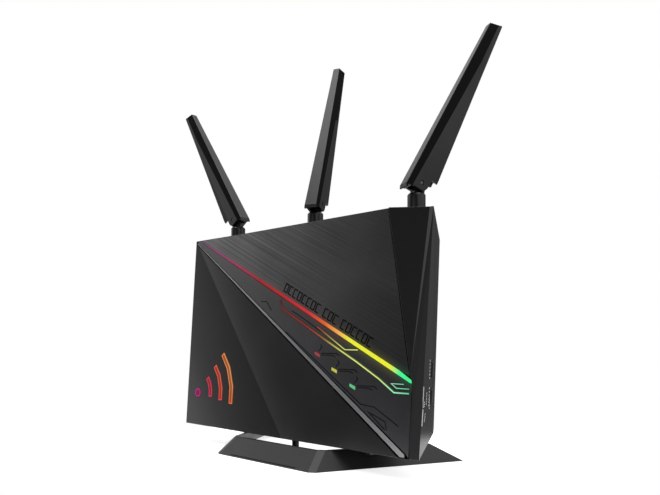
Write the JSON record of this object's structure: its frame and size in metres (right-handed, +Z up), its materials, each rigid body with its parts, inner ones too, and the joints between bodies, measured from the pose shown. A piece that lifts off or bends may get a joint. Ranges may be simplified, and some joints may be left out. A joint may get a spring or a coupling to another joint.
{
  "type": "wireless router",
  "caption": "Desktop wireless router: thin faceted housing leaning back on an open stand, with glowing front lines, rear sockets and hinged paddle antennas.",
  "frame": {"origin": "on the table, directly below the middle of the front face's lower edge, on the underside of the stand's sole plate", "axes": "+X to the right seen from the front, +Y to the back, +Z up"},
  "size_m": [0.3322, 0.129, 0.3464],
  "materials": {
    "front_shell": "satin black moulding with crisp facets",
    "brushed_face": "fine brushed lines parallel to the light line",
    "band_face": "slate grey with etched circuit traces",
    "trim_metal": "bright satin edge",
    "light_line": "diffusing light guide, lit",
    "emblem_light": "diffusing lens, lit",
    "led_red": "diffusing lens, lit",
    "led_yellow": "diffusing lens, lit",
    "led_green": "diffusing lens, lit",
    "rear_shell": "finely textured matt black",
    "button": "satin black",
    "reset_cap": "dull red",
    "jack_body": "black socket moulding",
    "steel": "plated",
    "cast_aluminium": "extruded and anodised clear",
    "brass": "plated",
    "board": "green solder mask",
    "lead_jacket": "thin jacket",
    "antenna_shell": "satin to matt black",
    "stand": "satin black",
    "pad": "matt"
  },
  "bodies": {
    "housing": {"front_cover": "front_shell", "brushed_panel": "brushed_face", "circuit_band": "band_face", "trim_strip": "trim_metal", "light_bar_main": "light_line", "light_branch_lower": "light_line", "light_branch_upper": "light_line", "light_tail": "light_line", "led_lens_1": "led_red", "led_lens_2": "led_yellow", "led_lens_3": "led_green", "emblem_wave_1": "emblem_light", "emblem_wave_2": "emblem_light", "emblem_wave_3": "emblem_light", "emblem_dot": "emblem_light", "rear_cover": "rear_shell", "lan_jack_block": "jack_body", "wan_jack": "jack_body", "usb3_port": "steel", "usb2_port": "steel", "usb_divider": "jack_body", "dc_jack": "jack_body", "main_board": "board", "heatsink": "cast_aluminium", "rf_shield_left": "steel", "rf_shield_centre": "steel", "rf_shield_right": "steel", "light_board": "board", "emblem_light_board": "board", "stand_frame": "stand", "stand_pad_front": "pad", "stand_pad_back": "pad", "stand_screw_left": "steel", "stand_screw_right": "steel", "case_screw_1": "steel", "case_screw_2": "steel", "case_screw_3": "steel", "case_screw_4": "steel", "antenna_left_connector": "brass", "antenna_left_lead": "lead_jacket", "antenna_middle_connector": "brass", "antenna_middle_lead": "lead_jacket", "antenna_right_connector": "brass", "antenna_right_lead": "lead_jacket"},
    "antenna_left_arm": {"antenna_left_base": "antenna_shell", "antenna_left_pin": "steel"},
    "antenna_left_paddle": {"antenna_left_blade": "antenna_shell", "antenna_left_radiator": "brass"},
    "antenna_middle_arm": {"antenna_middle_base": "antenna_shell", "antenna_middle_pin": "steel"},
    "antenna_middle_paddle": {"antenna_middle_blade": "antenna_shell", "antenna_middle_radiator": "brass"},
    "antenna_right_arm": {"antenna_right_base": "antenna_shell", "antenna_right_pin": "steel"},
    "antenna_right_paddle": {"antenna_right_blade": "antenna_shell", "antenna_right_radiator": "brass"},
    "power_button_cap": {"power_button": "button"},
    "reset_button_cap": {"reset_button": "reset_cap"},
    "wps_button_cap": {"wps_button": "button"},
    "light_button_cap": {"light_button": "button"}
  },
  "joints": [
    {"name": "antenna_left_swivel", "type": "hinge", "parent": "housing", "child": "antenna_left_arm", "pos_m": [-0.1043, 0.0395, 0.2111], "axis": [0, 0, 1], "range_deg": [-120, 60]},
    {"name": "antenna_left_tilt", "type": "hinge", "parent": "antenna_left_arm", "child": "antenna_left_paddle", "pos_m": [-0.1056, 0.03954, 0.2111], "axis": [-0.0349, -0.9994, 0], "range_deg": [-34.1, 55.9]},
    {"name": "antenna_middle_swivel", "type": "hinge", "parent": "housing", "child": "antenna_middle_arm", "pos_m": [0, 0.0395, 0.2111], "axis": [0, 0, 1], "range_deg": [-120, 60]},
    {"name": "antenna_middle_tilt", "type": "hinge", "parent": "antenna_middle_arm", "child": "antenna_middle_paddle", "pos_m": [-0.00045, 0.04072, 0.2111], "axis": [-0.9385, -0.3453, 0], "range_deg": [-21.2, 68.8]},
    {"name": "antenna_right_swivel", "type": "hinge", "parent": "housing", "child": "antenna_right_arm", "pos_m": [0.1043, 0.0395, 0.2111], "axis": [0, 0, 1], "range_deg": [-120, 60]},
    {"name": "antenna_right_tilt", "type": "hinge", "parent": "antenna_right_arm", "child": "antenna_right_paddle", "pos_m": [0.10488, 0.04066, 0.2111], "axis": [-0.8934, 0.4493, 0], "range_deg": [-27.5, 62.5]},
    {"name": "power_button_press", "type": "slide", "parent": "housing", "child": "power_button_cap", "axis": [0, -1, 0], "range_m": [0, 0.0015], "stiffness_N_per_m": 400},
    {"name": "reset_button_press", "type": "slide", "parent": "housing", "child": "reset_button_cap", "axis": [0, -1, 0], "range_m": [0, 0.0012], "stiffness_N_per_m": 300},
    {"name": "wps_button_press", "type": "slide", "parent": "housing", "child": "wps_button_cap", "axis": [-0.951, -0.3071, 0.0363], "range_m": [0, 0.0008], "stiffness_N_per_m": 400},
    {"name": "light_button_press", "type": "slide", "parent": "housing", "child": "light_button_cap", "axis": [-0.951, -0.3071, 0.0363], "range_m": [0, 0.0008], "stiffness_N_per_m": 400}
  ]
}
